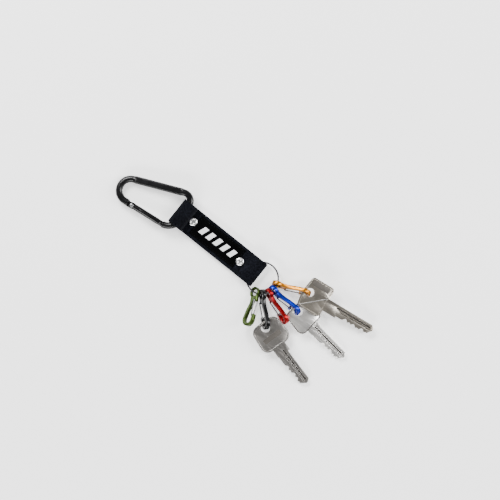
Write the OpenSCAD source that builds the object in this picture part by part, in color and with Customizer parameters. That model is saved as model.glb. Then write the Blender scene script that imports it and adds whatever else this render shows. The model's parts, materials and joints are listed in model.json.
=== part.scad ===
// Carabiner keyring: a riveted webbing strap with a carabiner in one end and, in the other,
// a split ring that carries five small wire-gate clips and three keys.
// Origin: centre of the strap's underside, on the surface it lies on.
// +X runs along the strap from the carabiner to the keys, +Y across it, +Z up.

/* [Strap] */
// Width of the webbing
strap_w = 20; // [16:0.5:22]
// Thickness of one layer of webbing
web_t = 1.2; // [1:0.1:1.5]
// Thickness of the front and back panels
panel_t = 0.4; // [0.3:0.05:0.5]
// Centre of the left rivet, from the strap's middle
rivet_left_x = -23.2; // [-26:0.1:-20]
// Centre of the right rivet, from the strap's middle
rivet_right_x = 20.7; // [18:0.1:23]
// How far the rivets stand to either side of the strap's middle line
rivet_skew = 0.7; // [0:0.1:1.5]
// Diameter of a rivet's cap
rivet_cap_d = 6; // [5:0.25:7]
// Diameter of a rivet's post
rivet_post_d = 2.4; // [2:0.1:3]
// Height of a rivet's front cap
rivet_cap_h = 0.95; // [0.7:0.05:1.3]
// Width of the front panel, across the strap
panel_w = 15.6; // [12:0.2:16]
// Number of slanted bars printed on the front panel
print_bars = 5; // [2:1:8]

/* [Carabiner] */
// Diameter of the carabiner's rod
rod_d = 5; // [4:0.1:6]
// Diameter of the gate
gate_d = 4.4; // [4:0.1:4.8]
// Width of the flattened spine, in the plane of the carabiner
spine_w = 5.6; // [5:0.1:7]
// Thickness of the flattened spine
spine_t = 4.2; // [3.6:0.1:5]
// Radius of the narrow bow, at the middle of the rod
bow_r = 8.4; // [7:0.1:10]
// Distance from the base bar to the centre of the narrow bow
bow_reach = 41.3; // [38:0.1:52]
// Radius of the corner between the base bar and the gate
nose_corner_r = 10.2; // [9:0.1:12]
// Radius of the corner between the base bar and the spine
spine_corner_r = 6.3; // [5:0.1:8]
// Distance from the centre of the narrow bow to the gate's hinge pin
hinge_inset = 6.5; // [6:0.1:8]
// Diameter of the gate's hinge pin
hinge_pin_d = 1.6; // [1.2:0.1:2]
// Turn of the carabiner on the surface it lies on, to the left of the strap's line
carabiner_yaw = 6.7; // [0:0.1:12]

/* [Split ring] */
// Outer diameter of the split ring
ring_od = 24; // [23:0.5:28]
// Width of the ring's wire, in the plane of the ring
wire_w = 1.1; // [0.8:0.05:1.3]
// Height of one coil of the ring
coil_h = 0.65; // [0.5:0.05:0.8]
// Lift of the ring, in degrees, where the clips hold it up
ring_tilt = 4; // [3:0.1:5]

/* [Clips] */
// Thickness of a clip's plate
clip_t = 2.6; // [2.2:0.1:2.8]
// Radius of a clip's head
head_r = 4; // [3.9:0.1:4.4]
// Radius of the eye in a clip's head, at its waist
eye_r = 2.3; // [2.1:0.05:2.4]
// Distance from the eye to the centre of the tail's bend
tail_s = 19.8; // [18:0.1:22]
// Radius of the tail's bend, at the middle of the bar
tail_r = 4; // [3.7:0.1:4.4]
// Width of the bar that a clip is made of
bar_w = 2.2; // [1.8:0.1:2.4]
// Diameter of the wire gate
gate_wire_d = 0.9; // [0.7:0.05:1]

/* [Keys] */
// Thickness of a key
key_t = 2.1; // [1.6:0.1:2.3]
// Radius of the hole in a key's bow
key_hole_r = 3.15; // [3:0.05:3.4]
// Width of a key's blade
blade_w = 8.2; // [7.4:0.1:9]

/* [Hidden] */
$fn = 48;
fit = 0.05;      // radial clearance of a running fit
gap = 0.2;       // clearance between parts that pass each other

// Strap: heights of its layers, from the surface up
web_z = panel_t;
mid_z = web_z + web_t;
top_z = mid_z + web_t;
cap_z = top_z + panel_t;
post_r = rivet_post_d / 2;
cap_r = rivet_cap_d / 2;
panel_left = rivet_left_x + cap_r - 0.4;
panel_right = rivet_right_x - post_r - 0.3;
panel_y = 0.3;
print_t = 0.08;
print_h = 5.9;
print_slant = 20;

// Loop that holds the carabiner's base bar, and the axis that the carabiner swings about
rod_r = rod_d / 2;
bar_lead = 1.6;                                     // the bar's middle runs this far ahead of the axis
loop_r = rod_r + bar_lead / 2 + 0.8;
loop_tail_x = rivet_left_x - cap_r - 0.1;           // the loop's foot, just left of the rivet
loop_right_x = loop_tail_x - loop_r - web_t + 0.2;
loop_left_x = loop_right_x - 1.1;
loop_z = mid_z + loop_r;
swing_x = loop_left_x - 0.65;
swing_z = mid_z + 2.5 * gap + rod_r + bar_lead;

// Pocket that holds the split ring
ring_r = (max(ring_od, strap_w + 4) - wire_w) / 2;    // at least wide enough for the strap
coil_gap = 0.05;
ring_h = 2 * coil_h + coil_gap;
pocket_r = ring_h / 2 + 0.62;
pocket_z = mid_z + pocket_r;
ring_y = 0;
edge_y = strap_w / 2 - ring_y;                      // the far edge of the strap, from the ring's centre
edge_chord = sqrt(ring_r * ring_r - edge_y * edge_y);
ring_x = rivet_right_x + 8.45 + ring_r;
pocket_end_x = ring_x - edge_chord + wire_w / 2 + 0.9;
pocket_right_x = pocket_end_x - pocket_r;
pocket_left_x = ring_x - ring_r - 2.2;
pocket_tail_x = rivet_right_x + cap_r + 0.3;

// Carabiner, in its own frame: the gate lies along y = 0, the base bar along x = 0
gate_r = gate_d / 2;
strap_edge_y = 3.35;                                // where the strap's near edge crosses the frame
spine_corner_y = strap_edge_y + strap_w - 2;
bar_mid_y = strap_edge_y + strap_w / 2 / cos(carabiner_yaw);
bow = [-bow_reach, bow_r];
corner = [-spine_corner_r, spine_corner_y];
spine_run = corner - bow;
spine_angle = atan2(spine_run[1], spine_run[0]) - asin((bow_r - spine_corner_r) / norm(spine_run));
spine_side = [-sin(spine_angle), cos(spine_angle)];
spine_from = bow + bow_r * spine_side;
spine_to = corner + spine_corner_r * spine_side;
hinge = [-bow_reach + hinge_inset, -0.3];
lap = 0.2;                                          // straight runs end this far inside the bends
lap_step = 0.01;                                    // and are this much slimmer
pin_r = hinge_pin_d / 2;
pin_head_r = pin_r + 0.45;
tongue_t = 1.8;
tongue_r = 2.2;
tongue_flat = 1.9;                                  // from the pin to the tongue's flat end
fork_gap = 0.1;                                     // between the tongue and each ear of the gate
shoulder_x = hinge[0] - 3.35;
nose_x = -9.4;
nose_angle = acos((nose_x + nose_corner_r) / nose_corner_r);
nose_gap = 0.2;
catch_x = nose_x - 1.6;
catch_r = 0.45;
nose_tongue_t = 1.5;
bore_r = 0.95;
bore_end_x = hinge[0] + 14;
plunger_r = bore_r - fit;
plunger_from = hinge[0] + tongue_flat + 0.03;
plunger_len = 3;
spring_wire = 0.3;
spring_turns = 9;
droop = asin((swing_z - rod_r - 0.03) / (swing_x - carabiner_reach_x()));

// Clip, in its own frame: x from the eye to the tail, y towards the gate, z through the plate
clip_half = clip_t / 2;
bar_r = bar_w / 2;
tail_y = 1.3;
waist = [8.2, -0.1];
back = [14, -1.85];
lug = [5.3, 3.1];
wire_r = gate_wire_d / 2;
wire_side = clip_half + wire_r + 0.12;
nose_tip_s = 16.5 - 19.8 + tail_s;
nose_y = tail_y + tail_r - 0.05;
catch = [nose_tip_s + 0.5, nose_y - bar_r - wire_r - 0.12];
wire_turn = 0.95;                                   // half the width of the wire's bend at the nose
countersink = 1;

// Clips in order: place on the ring (degrees), heading, roll, pitch and how far past the wire
clips = [
    [17.4, 23.9, -109, 12.2, 0.2],                  // gold
    [-7, -2.1, -114.5, 7, 0.25],                    // blue
    [-27.6, -19.3, -113.5, 7.2, 0.3],               // red
    [-50.5, -43.8, -113.5, 7.8, 0.35],              // black
    [-78, -67.5, 48, 10, 0],                        // green
];

// Grooves milled along a key's blade: [down from its back, width, depth, start past the neck]
key_grooves = [[3.1, 1.2, 0.55, -2.5], [4.5, 0.5, 0.3, 0.8]];

function carabiner_reach_x() = bar_x() - (bow_reach + bow_r * 0.995) * cos(carabiner_yaw)
    + (bar_mid_y - bow_r) * sin(carabiner_yaw);
function bar_x() = swing_x + bar_lead - 0.1;

function turn(v, heading, pitch, roll) =
    let (a = [v[0], v[1] * cos(roll) - v[2] * sin(roll), v[1] * sin(roll) + v[2] * cos(roll)])
    let (b = [a[0] * cos(pitch) - a[2] * sin(pitch), a[1], a[0] * sin(pitch) + a[2] * cos(pitch)])
    [b[0] * cos(heading) - b[1] * sin(heading), b[0] * sin(heading) + b[1] * cos(heading), b[2]];

// Height of a clip's eye when its head stands on the surface
function eye_z(c) = let (w = abs(cos(c[2]) * cos(c[3])))
    head_r * sqrt(1 - w * w) + clip_half * w + 0.03;
function clip_eye(c) = [ring_x + (ring_r + c[4]) * cos(c[0]), ring_y + (ring_r + c[4]) * sin(c[0]), eye_z(c)];
function clip_point(c, s, n, w) = clip_eye(c) + turn([s, n, w], c[1], c[3], c[2]);

// ---- shared shapes ----

module rod(p, q, r) {
    d = q - p;
    translate(p) rotate([0, acos(d[2] / norm(d)), atan2(d[1], d[0])]) cylinder(h = norm(d), r = r);
}

// A rod bent to a bow in the XY plane, from angle a to angle b about c
module bent_rod(c, bend_r, r, a, b) {
    translate([c[0], c[1], 0]) rotate([0, 0, a]) rotate_extrude(angle = b - a, $fn = 96)
        translate([bend_r, 0]) circle(r = r);
}

// A closed tube through rings of points: rows are rings, and each ring has the same number of points
module skin(rows) {
    n = len(rows[0]);
    last = len(rows) - 1;
    polyhedron(
        points = [for (row = rows) for (p = row) p],
        faces = concat(
            [[for (j = [0:n - 1]) j]],
            [[for (j = [0:n - 1]) last * n + n - 1 - j]],
            [for (i = [0:last - 1]) for (j = [0:n - 1])
                [i * n + j, (i + 1) * n + j, (i + 1) * n + (j + 1) % n, i * n + (j + 1) % n]]));
}

// ---- strap ----

module loop_profile(grow) {
    hull() {
        translate([loop_left_x, loop_z]) circle(r = loop_r + grow);
        translate([loop_right_x, loop_z]) circle(r = loop_r + grow);
        translate([loop_tail_x, mid_z - grow]) square([0.01, 2 * grow + 0.01]);
    }
}

module pocket_profile(grow) {
    hull() {
        translate([pocket_left_x, pocket_z]) circle(r = pocket_r + grow);
        translate([pocket_right_x, pocket_z]) circle(r = pocket_r + grow);
        translate([pocket_tail_x, mid_z - grow]) square([0.01, 2 * grow + 0.01]);
    }
}

module strap_webbing() color("#1d2026") difference() {
    rotate([90, 0, 0]) linear_extrude(height = strap_w, center = true) difference() {
        union() {
            loop_profile(web_t);
            pocket_profile(web_t);
            translate([loop_tail_x, web_z]) square([pocket_tail_x - loop_tail_x, 2 * web_t]);
        }
        loop_profile(0);
        pocket_profile(0);
    }
    at_rivets() cylinder(h = 20, r = post_r + fit, center = true);
}

module at_rivets() {
    translate([rivet_left_x, rivet_skew, 0]) children();
    translate([rivet_right_x, -rivet_skew, 0]) children();
}

module front_panel() color("#0b0c10")
    translate([panel_left, panel_y - panel_w / 2, top_z]) cube([panel_right - panel_left, panel_w, panel_t]);

module back_panel() color("#0b0c10") {
    from = rivet_left_x + cap_r + 0.2;
    to = rivet_right_x - cap_r - 0.2;
    translate([from, panel_y - panel_w / 2, 0]) cube([to - from, panel_w, panel_t]);
}

// Plain slanted bars, in the space that a printed name would take
module front_print() color("#e9eaec") {
    from = panel_left + 4.5;
    step = (panel_right - cap_r - from) / print_bars;
    lean = print_h * tan(print_slant);
    for (i = [0:print_bars - 1])
        translate([from + i * step, panel_y - print_h / 2, cap_z]) linear_extrude(height = print_t)
            polygon([[0, 0], [step * 0.55, 0], [step * 0.55 + lean, print_h], [lean, print_h]]);
}

module rivet_caps() color("#c9ccd0") at_rivets() translate([0, 0, cap_z]) rotate_extrude()
    polygon([[0, 0], [cap_r, 0], [cap_r, 0.3], [cap_r - 0.35, rivet_cap_h - 0.2], [cap_r - 0.9, rivet_cap_h],
             [cap_r - 1.4, rivet_cap_h - 0.05], [cap_r - 1.7, 0.4], [0, 0.35]]);

module rivet_posts() color("#b5b8bc") at_rivets()
    translate([0, 0, web_z]) cylinder(h = cap_z - web_z, r = post_r);

module rivet_backs() color("#c9ccd0") at_rivets() cylinder(h = web_z, r = cap_r);

// ---- carabiner ----

module in_carabiner() {
    translate([swing_x, 0, swing_z]) rotate([0, -droop, 0]) translate([bar_x() - swing_x, 0, 0])
        rotate([0, 0, carabiner_yaw]) translate([0, -bar_mid_y, 0]) children();
}

module spine() {
    along = [cos(spine_angle), sin(spine_angle)];
    from = spine_from - lap * along;
    to = spine_to + lap * along;
    intersection() {
        rod([from[0], from[1], 0], [to[0], to[1], 0], spine_w / 2);
        cube([400, 400, spine_t], center = true);
    }
}

module hinge_tongue() {
    translate([0, 0, -tongue_t / 2]) intersection() {
        union() {
            translate([hinge[0], hinge[1], 0]) cylinder(h = tongue_t, r = tongue_r);
            translate([shoulder_x - 0.5, hinge[1] - tongue_r, 0])
                cube([hinge[0] - shoulder_x + 0.5, 2 * tongue_r, tongue_t]);
        }
        translate([shoulder_x - 0.5, -10, 0]) cube([hinge[0] + tongue_flat - shoulder_x + 0.5, 20, tongue_t]);
    }
}

// Hooked tongue that takes the gate's catch pin, open towards the inside
module nose_tongue() {
    difference() {
        translate([catch_x - 1.4, -1.7, -nose_tongue_t / 2]) cube([nose_x - catch_x + 2, 3.2, nose_tongue_t]);
        translate([catch_x, 0, -2]) cylinder(h = 4, r = catch_r + 0.15);
        translate([catch_x - catch_r - 0.15, 0, -2]) cube([2 * catch_r + 0.3, 4, 4]);
    }
}

module carabiner_frame() color("#17181b") in_carabiner() difference() {
    union() {
        rod([0, nose_corner_r - lap, 0], [0, spine_corner_y + lap, 0], rod_r - lap_step);
        bent_rod([-nose_corner_r, nose_corner_r], nose_corner_r, rod_r, -nose_angle, 0);
        bent_rod(corner, spine_corner_r, rod_r, 0, 90 + spine_angle);
        spine();
        bent_rod(bow, bow_r, rod_r, 90 + spine_angle, 270);
        rod([-bow_reach - lap, 0, 0], [shoulder_x, 0, 0], rod_r - lap_step);
        hinge_tongue();
        nose_tongue();
    }
    translate([hinge[0], hinge[1], -5]) cylinder(h = 10, r = pin_r + fit);
}

module carabiner_gate() color("#1b1c20") in_carabiner() difference() {
    union() {
        rod([hinge[0] + 1, 0, 0], [nose_x - nose_gap, 0, 0], gate_r);
        intersection() {
            rod([hinge[0] - 3, 0, 0], [hinge[0] + 1.6, 0, 0], rod_r);
            union() {
                translate([hinge[0], hinge[1], -5]) cylinder(h = 10, r = rod_r);
                translate([hinge[0], -5, -5]) cube([5, 10, 10]);
            }
        }
    }
    slot = tongue_t / 2 + fork_gap;
    translate([hinge[0] - 5, -5, -slot]) cube([5 + tongue_flat + 0.6, 10, 2 * slot]);
    rod([hinge[0], 0, 0], [bore_end_x, 0, 0], bore_r);
    translate([hinge[0], hinge[1], -5]) cylinder(h = 10, r = pin_r);
    for (side = [-1, 1]) translate([hinge[0], hinge[1], side * (rod_r + 4.5)]) cube([12, 12, 9.8], center = true);
    nose_slot = nose_tongue_t / 2 + fork_gap;
    translate([catch_x - 2, -5, -nose_slot]) cube([10, 10, 2 * nose_slot]);
    translate([catch_x, 0, -5]) cylinder(h = 10, r = catch_r);
}

// Rivet through the gate's ears and the frame's tongue, with a flat head on each side
module gate_hinge_pin() color("#d4d6d9") in_carabiner() translate([hinge[0], hinge[1], 0]) {
    flat = rod_r - 0.4;
    cylinder(h = 2 * flat, r = pin_r, center = true);
    for (side = [-1, 1]) translate([0, 0, side * (flat + 0.175)]) cylinder(h = 0.35, r = pin_head_r, center = true);
}

module gate_catch_pin() color("#9a9da1") in_carabiner()
    translate([catch_x, 0, 0]) cylinder(h = 2 * sqrt(gate_r * gate_r - catch_r * catch_r), r = catch_r, center = true);

module gate_plunger() color("#a4a7ab") in_carabiner()
    rod([plunger_from, 0, 0], [plunger_from + plunger_len, 0, 0], plunger_r);

module gate_spring() color("#8d9094") in_carabiner() {
    from = plunger_from + plunger_len + spring_wire / 2 + 0.02;
    run = bore_end_x - spring_wire / 2 - 0.02 - from;
    coil_r = plunger_r - spring_wire / 2;
    steps = 12 * spring_turns;
    skin([for (i = [0:steps]) let (a = 360 * spring_turns * i / steps) [for (j = [0:5])
        let (r = coil_r + spring_wire / 2 * cos(60 * j))
        [from + run * i / steps - spring_wire / 2 * sin(60 * j), r * cos(a), r * sin(a)]]]);
}

// ---- split ring ----

// Height of the wire's middle after t degrees: one coil below, a step across, one coil above
function coil_z(t) = (coil_h + coil_gap) * (min(max((t - 345) / 30, 0), 1) - 0.5);

module split_ring() color("#9b9da0")
    translate([pocket_end_x, 0, pocket_z]) rotate([0, -ring_tilt, 0])
    translate([ring_x - pocket_end_x, ring_y, 0]) rotate([0, 0, 120]) {
        a = wire_w / 2;
        b = coil_h / 2;
        k = 0.35;
        side = [[a * 0.7, -b], [-a * 0.7, -b], [-a, -b * k], [-a, b * k], [-a * 0.7, b], [a * 0.7, b],
                [a, b * k], [a, -b * k]];
        skin([for (t = [17:7:703]) [for (p = side)
            [(ring_r + p[0]) * cos(t), (ring_r + p[0]) * sin(t), coil_z(t) + p[1]]]]);
    }

// ---- clips ----

module in_clip(c) {
    translate(clip_eye(c)) rotate([0, 0, c[1]]) rotate([0, -c[3], 0]) rotate([c[2], 0, 0]) children();
}

module clip_outline() {
    circle(r = head_r);
    hull() {
        translate([2.2, 0.2]) circle(r = bar_r + 0.9);
        translate(waist) circle(r = bar_r);
    }
    hull() {
        translate(waist) circle(r = bar_r);
        translate(back) circle(r = bar_r);
    }
    hull() {
        translate(back) circle(r = bar_r);
        translate([tail_s + tail_r * cos(255), tail_y + tail_r * sin(255)]) circle(r = bar_r);
    }
    hull() {
        translate([2.2, 1.6]) circle(r = 2);
        translate([lug[0], lug[1]]) circle(r = bar_r);
    }
    difference() {
        translate([tail_s, tail_y]) circle(r = tail_r + bar_r);
        translate([tail_s, tail_y]) circle(r = tail_r - bar_r);
        translate([tail_s, tail_y]) polygon([[0, 0], [0, 20], [-20, 20], [-20, -20], [20 * cos(255), 20 * sin(255)]]);
    }
    hull() {
        translate([tail_s + 0.01, nose_y]) circle(r = bar_r);
        translate([nose_tip_s, nose_y]) circle(r = bar_r - 0.1);
    }
}

module clip_body(c) {
    in_clip(c) difference() {
        translate([0, 0, -clip_half]) linear_extrude(height = clip_t) clip_outline();
        cylinder(h = 10, r = eye_r, center = true);
        for (side = [0, 180]) rotate([side, 0, 0]) translate([0, 0, clip_half - countersink])
            cylinder(h = countersink + 0.1, r1 = eye_r, r2 = eye_r + countersink + 0.1);
        for (side = [0, 180]) rotate([side, 0, 0]) translate([lug[0], side == 0 ? lug[1] : -lug[1], 0.35])
            cylinder(h = 5, r = wire_r + fit, $fn = 24);
    }
}

// Bent wire: a short end in each side of the lug, two legs, and a bend caught behind the nose
module clip_wire(c) {
    in_clip(c) {
        for (side = [-1, 1]) {
            foot = [lug[0], lug[1], side * wire_side];
            knee = [catch[0], catch[1], side * wire_turn];
            rod([lug[0], lug[1], side * 0.45], foot, wire_r, $fn = 24);
            translate(foot) sphere(r = wire_r * 1.06, $fn = 24);
            rod(foot, knee, wire_r, $fn = 24);
            translate(knee) sphere(r = wire_r * 1.06, $fn = 24);
        }
        rod([catch[0], catch[1], -wire_turn], [catch[0], catch[1], wire_turn], wire_r, $fn = 24);
    }
}

module gold_clip() color("#d99a1c") clip_body(clips[0]);
module blue_clip() color("#2446c8") clip_body(clips[1]);
module red_clip() color("#b3121f") clip_body(clips[2]);
module black_clip() color("#1a1b1d") clip_body(clips[3]);
module green_clip() color("#5c7640") clip_body(clips[4]);
module gold_clip_gate() color("#a8aaad") clip_wire(clips[0]);
module blue_clip_gate() color("#a8aaad") clip_wire(clips[1]);
module red_clip_gate() color("#a8aaad") clip_wire(clips[2]);
module black_clip_gate() color("#a8aaad") clip_wire(clips[3]);
module green_clip_gate() color("#a8aaad") clip_wire(clips[4]);

// ---- keys, in their own frame: x from the hole to the tip, y to the left ----

// Puts a key's hole round the tail of a clip: n and w move it on the clip, shift moves it along the key
module on_clip(c, n, shift, heading, drop) {
    reach = sqrt(tail_r * tail_r - (n - tail_y) * (n - tail_y));
    translate(clip_point(c, tail_s + reach, n, 0)) rotate([0, 0, heading]) rotate([0, drop, 0])
        translate([shift[0], shift[1], 0]) children();
}

// A key's blade with its cuts along the lower edge: each cut is [from the bow, depth]
module blade(from, tip, top, cuts) {
    pitch = 3.4;
    low = top - blade_w;
    difference() {
        translate([from, low]) square([tip - from, blade_w]);
        for (i = [0:len(cuts) - 1]) translate([tip - 3.6 - pitch * i, low])
            polygon([[-0.6 - cuts[i], 0 - 0.01], [0.6 + cuts[i], -0.01], [0.6, cuts[i]], [-0.6, cuts[i]]]);
        translate([tip, low]) polygon([[0.01, -0.01], [0.01, blade_w * 0.55], [-blade_w * 0.45, -0.01]]);
        translate([tip, top]) polygon([[0.01, 0.01], [0.01, -blade_w * 0.25], [-blade_w * 0.25, 0.01]]);
    }
}

// One key: a bow with rounded corners, a neck and a grooved blade
module key(bow_box, corner_r, neck, tip, top, cuts) {
    difference() {
        translate([0, 0, -key_t / 2]) linear_extrude(height = key_t) {
            hull() for (p = bow_box) translate([p[0], p[1]]) circle(r = corner_r, $fn = 32);
            translate([bow_box[1][0], neck[1]]) square([neck[0] - bow_box[1][0], neck[2] - neck[1]]);
            blade(neck[0] - 1, tip, top, cuts);
        }
        cylinder(h = 10, r = key_hole_r, center = true);
        for (groove = key_grooves) for (side = [0, 1])
            translate([neck[0] + groove[3], top - groove[0] - side * blade_w / 4, 0]) rotate([side * 180, 0, 0])
                translate([0, 0, key_t / 2 - groove[2]]) cube([tip - neck[0], groove[1], 1]);
    }
}

module square_key() color("#8f8a83") on_clip(clips[0], 1.7, [-0.15, 0.8], 7.6, 4.9)
    key([[-1.2, 8.6], [12, 8.6], [11.9, -9.4], [-1.6, -9.4], [-2.9, -1.9]], 2.5,
        [24.7, -6.4, 3], 52.6, 3, [1.2, 2.1, 0.8, 1.7, 1.1, 1.9]);

module wide_key() color("#b9b8b4") on_clip(clips[1], 2.2, [-0.5, 0.7], -6.8, 5)
    key([[-0.4, 6.2], [9.6, 6.4], [10, -6.2], [-0.6, -5], [-0.8, 0]], 4.5,
        [18.6, -5.2, 4.4], 46.4, 3.4, [1.6, 0.9, 2, 1.3, 1.8]);

module round_key() color("#7f7d79") on_clip(clips[3], 2.2, [0, -0.1], -14.3, 5)
    key([[1.2, 5.8], [10.6, 6.1], [10.4, -5.9], [1, -5], [0.8, 0]], 5.7,
        [22.6, -5.5, 4.9], 49.2, 3.1, [1.1, 1.8, 2.2, 0.9, 1.6]);

strap_webbing();
front_panel();
back_panel();
front_print();
rivet_caps();
rivet_posts();
rivet_backs();
carabiner_frame();
carabiner_gate();
gate_hinge_pin();
gate_catch_pin();
gate_plunger();
gate_spring();
split_ring();
gold_clip();
gold_clip_gate();
blue_clip();
blue_clip_gate();
red_clip();
red_clip_gate();
black_clip();
black_clip_gate();
green_clip();
green_clip_gate();
square_key();
wide_key();
round_key();
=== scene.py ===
import json
import math

import bmesh
import bpy
import numpy as np
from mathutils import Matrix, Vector


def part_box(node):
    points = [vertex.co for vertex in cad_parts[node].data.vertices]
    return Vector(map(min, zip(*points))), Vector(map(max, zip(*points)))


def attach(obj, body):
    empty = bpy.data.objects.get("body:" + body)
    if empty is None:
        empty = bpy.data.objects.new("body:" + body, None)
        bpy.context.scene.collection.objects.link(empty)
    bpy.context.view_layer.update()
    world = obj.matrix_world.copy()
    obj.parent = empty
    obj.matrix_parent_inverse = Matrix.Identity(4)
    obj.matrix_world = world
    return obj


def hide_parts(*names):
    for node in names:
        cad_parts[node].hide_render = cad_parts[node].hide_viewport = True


# Carabiner keyring: a riveted webbing strap, a carabiner in its left end, and a split ring in its right end
# with five wire-gate clips and three keys. Every length is written in millimetres and multiplied by MM.
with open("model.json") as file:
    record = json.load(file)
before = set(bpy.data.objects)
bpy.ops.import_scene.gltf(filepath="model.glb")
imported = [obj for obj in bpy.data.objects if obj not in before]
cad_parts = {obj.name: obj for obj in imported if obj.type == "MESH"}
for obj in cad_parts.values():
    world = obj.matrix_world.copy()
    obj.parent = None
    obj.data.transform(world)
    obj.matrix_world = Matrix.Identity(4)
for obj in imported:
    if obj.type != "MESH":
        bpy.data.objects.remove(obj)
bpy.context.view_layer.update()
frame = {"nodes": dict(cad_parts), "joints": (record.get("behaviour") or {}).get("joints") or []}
MM = 0.001

# ---- Strap webbing -------------------------------------------------------------------------------------
# One length of 20 mm ribbed polyester webbing, woven with a heavy cross rib. It is folded over the
# carabiner's base bar at the left and over the split ring at the right, and the two layers between the
# folds are clamped by the rivets.

WEB_WIDTH, WEB_THICK = 20.0, 1.2
UPPER_Z = 2.2                                    # middle height of the upper layer
LOOP_RIGHT, LOOP_LEFT, LOOP_Z = -31.4, -32.5, 5.7
LOOP_RADIUS = 4.7                                # at the middle of the webbing
LOOP_FOOT = -26.3                                # where the loop leaves the lower layer
POCKET_LEFT, POCKET_RIGHT, POCKET_Z = 26.95, 35.178, 2.895
POCKET_RADIUS = 1.895
POCKET_FOOT = 24.0
RIB_PITCH, RIB_DEPTH = 0.95, 0.13


def grid_mesh(name, points, u, v, close_u=False, caps=True):
    """A mesh through a grid of points P(i, j), one quad to a cell. The last column joins the first, and with
    close_u so does the last row; otherwise caps closes the first and last rows. u and v are the lengths
    along the rows and columns, in millimetres, and become the UV map."""
    rows, cols = points.shape[:2]
    step_u = rows if close_u else rows - 1
    i, j = [g.ravel() for g in np.meshgrid(np.arange(step_u), np.arange(cols), indexing="ij")]
    corner = [(i, j), (i + 1, j), (i + 1, j + 1), (i, j + 1)]
    quads = np.stack([(a % rows) * cols + b % cols for a, b in corner], 1)
    uv = np.stack([np.stack([np.asarray(u)[a], np.asarray(v)[b]], 1) for a, b in corner], 1)
    faces = quads.tolist()
    uv = uv.reshape(-1, 2)
    if caps and not close_u:
        for ring in (range(cols), range((rows - 1) * cols + cols - 1, (rows - 1) * cols - 1, -1)):
            faces.append(list(ring))
            uv = np.concatenate([uv, np.zeros((cols, 2))])
    mesh = bpy.data.meshes.new(name)
    mesh.from_pydata((points.reshape(-1, 3) * MM).tolist(), [], faces)
    layer = mesh.uv_layers.new(name="along")
    layer.data.foreach_set("uv", (uv * MM).ravel())
    face_out(mesh)
    mesh.shade_smooth()
    return mesh


def face_out(mesh):
    """Turns the faces of a closed mesh outwards."""
    bm = bmesh.new()
    bm.from_mesh(mesh)
    bmesh.ops.recalc_face_normals(bm, faces=bm.faces)
    bm.to_mesh(mesh)
    bm.free()


def place(name, mesh, body, slot, material, *nodes):
    """Puts a finished mesh in the scene: it rides on a body and stands for CAD nodes. Its slot is not used.
    """
    piece = bpy.data.objects.new(name, mesh)
    bpy.context.scene.collection.objects.link(piece)
    mesh.materials.clear()
    mesh.materials.append(material)
    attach(piece, body)
    if nodes:
        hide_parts(*nodes)
    return piece


def arc(cx, cz, radius, start, end, steps=40):
    """Points on a circle about (cx, cz) from one angle to another, in degrees."""
    a = np.radians(np.linspace(start, end, steps))
    return np.stack([cx + radius * np.cos(a), cz + radius * np.sin(a)], 1)


def run_along(points):
    """How far along a line of points each one lies."""
    return np.concatenate([[0], np.cumsum(np.linalg.norm(np.diff(points, axis=0), axis=1))])


def even_loop(route, step, blur):
    """A closed route as points a fixed step apart, with its corners eased over the length blur: each point
    becomes the mean of its neighbours, weighted by a raised cosine."""
    route = np.vstack([route, route[:1]])
    run = run_along(route)
    count = int(round(run[-1] / step))
    at = np.arange(count) * run[-1] / count
    even = np.stack([np.interp(at, run, route[:, k]) for k in range(2)], 1)
    half = max(int(blur / step / 2), 1)
    weight = 1 + np.cos(np.pi * np.arange(-half, half + 1) / (half + 1))
    weight /= weight.sum()
    turned = [np.roll(even, shift, axis=0) for shift in range(-half, half + 1)]
    return np.tensordot(weight, np.array(turned), 1), run[-1] / count


def tangent_angle(px, pz, cx, cz, radius, side):
    """The angle on a circle where the line from the point (px, pz) touches it, on the given side."""
    far = math.hypot(px - cx, pz - cz)
    return math.degrees(math.atan2(pz - cz, px - cx) + side * math.acos(radius / far))


def rounded_band(half_width, half_thick, corner, across=26, around=6):
    """The section of a band: a rectangle with round corners, as points (y, z) once round, and the outward
    share of each point that a rib can lift (1 on the faces, 0 on the edges)."""
    quarter = np.linspace(0, math.pi / 2, around)
    points = []
    for sy, sz, shift in ((1, 1, 0), (-1, 1, 1), (-1, -1, 2), (1, -1, 3)):
        a = quarter + shift * math.pi / 2
        points.append(np.stack([sy * (half_width - corner) + corner * np.cos(a),
                                sz * (half_thick - corner) + corner * np.sin(a)], 1))
    flat = np.linspace(1, -1, across)[1:-1] * (half_width - corner)
    top = np.stack([flat, np.full(len(flat), half_thick)], 1)
    ring = np.vstack([points[0], top, points[1], points[2], -top, points[3]])
    lift = np.clip((np.abs(ring[:, 1]) / half_thick - 0.3) / 0.7, 0, 1) * np.sign(ring[:, 1])
    return ring, lift


def node_group(name, inputs, outputs):
    """A new shader node group: float inputs are (name, default) pairs and outputs (name, socket type)."""
    group = bpy.data.node_groups.new(name, "ShaderNodeTree")
    for title, value in inputs:
        socket = group.interface.new_socket(title, in_out="INPUT", socket_type="NodeSocketFloat")
        socket.default_value = value
    for title, kind in outputs:
        group.interface.new_socket(title, in_out="OUTPUT", socket_type=kind)
    return group, group.nodes.new("NodeGroupInput"), group.nodes.new("NodeGroupOutput")


def add(tree, kind, links=(), **settings):
    """A new node. settings fill its properties or, where a name isn't a property, its input sockets, and
    links are (input name or number, output socket) pairs."""
    node = tree.nodes.new(kind)
    for key, value in settings.items():
        if hasattr(node, key):
            setattr(node, key, value)
        else:
            node.inputs[key.replace("_", " ")].default_value = value
    for key, socket in links:
        tree.links.new(socket, node.inputs[key])
    return node


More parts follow.
